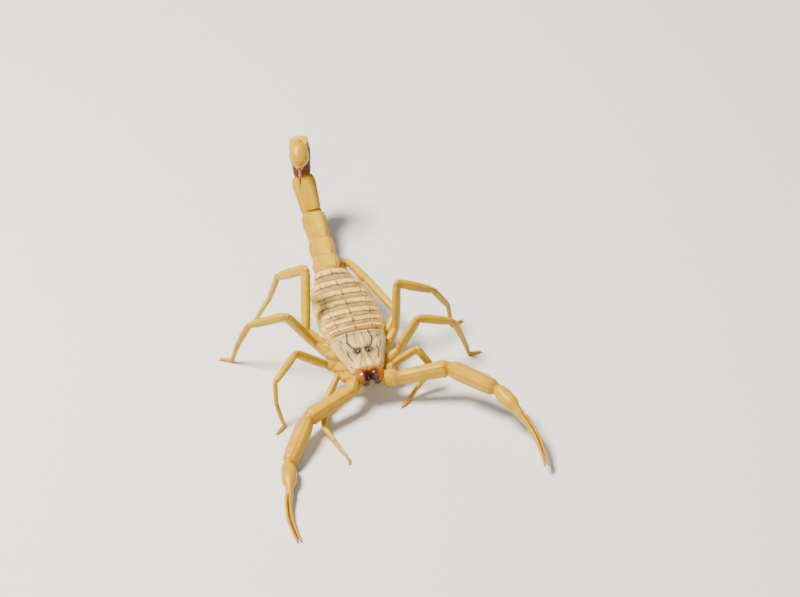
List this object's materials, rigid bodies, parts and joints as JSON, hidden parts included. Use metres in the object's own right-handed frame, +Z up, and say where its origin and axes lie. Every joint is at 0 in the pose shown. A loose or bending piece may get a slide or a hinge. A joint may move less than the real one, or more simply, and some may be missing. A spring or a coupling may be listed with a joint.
{
  "type": "desert scorpion",
  "caption": "Life-size desert scorpion in straw yellow, walking stance with spread pincers and the tail raised over its dark last joint.",
  "frame": {"origin": "middle of the bounding box in plan, on the floor under the soles", "axes": "+Y from the head towards the tail, +Z up, the animal's own right side at -X"},
  "size_m": [0.0586, 0.1044, 0.0251],
  "materials": {
    "limb": "waxy straw-yellow cuticle, slightly translucent",
    "back_plate": "granular pinkish-tan plates with straw rear edges",
    "chelicera": "orange-brown cuticle with dark glossy tips",
    "eye": "polished black",
    "dark_tail": "dark brown glossy cuticle",
    "sting": "red-brown horn running to a black tip",
    "membrane": "soft amber-yellow skin between the plates"
  },
  "bodies": {
    "root": {"abdomen_1": "back_plate", "abdomen_2": "back_plate", "abdomen_3": "back_plate", "abdomen_4": "back_plate", "abdomen_5": "back_plate", "abdomen_6": "back_plate", "abdomen_7": "back_plate", "carapace": "back_plate", "chelicera_left": "chelicera", "chelicera_right": "chelicera", "coxal_plate": "limb", "eye_left": "eye", "eye_right": "eye", "leg_left_1_femur": "limb", "leg_left_1_foot": "limb", "leg_left_1_patella": "limb", "leg_left_1_tibia": "limb", "leg_left_2_femur": "limb", "leg_left_2_foot": "limb", "leg_left_2_patella": "limb", "leg_left_2_tibia": "limb", "leg_left_3_femur": "limb", "leg_left_3_foot": "limb", "leg_left_3_patella": "limb", "leg_left_3_tibia": "limb", "leg_left_4_femur": "limb", "leg_left_4_foot": "limb", "leg_left_4_patella": "limb", "leg_left_4_tibia": "limb", "leg_right_1_femur": "limb", "leg_right_1_foot": "limb", "leg_right_1_patella": "limb", "leg_right_1_tibia": "limb", "leg_right_2_femur": "limb", "leg_right_2_foot": "limb", "leg_right_2_patella": "limb", "leg_right_2_tibia": "limb", "leg_right_3_femur": "limb", "leg_right_3_foot": "limb", "leg_right_3_patella": "limb", "leg_right_3_tibia": "limb", "leg_right_4_femur": "limb", "leg_right_4_foot": "limb", "leg_right_4_patella": "limb", "leg_right_4_tibia": "limb", "pincer_left_femur": "limb", "pincer_left_finger": "limb", "pincer_left_hand": "limb", "pincer_left_patella": "limb", "pincer_right_femur": "limb", "pincer_right_finger": "limb", "pincer_right_hand": "limb", "pincer_right_patella": "limb", "tail_1": "limb", "tail_2": "limb", "tail_3": "limb", "tail_4": "limb", "tail_5": "dark_tail", "telson_bulb": "limb", "telson_sting": "sting"}
  },
  "joints": []
}
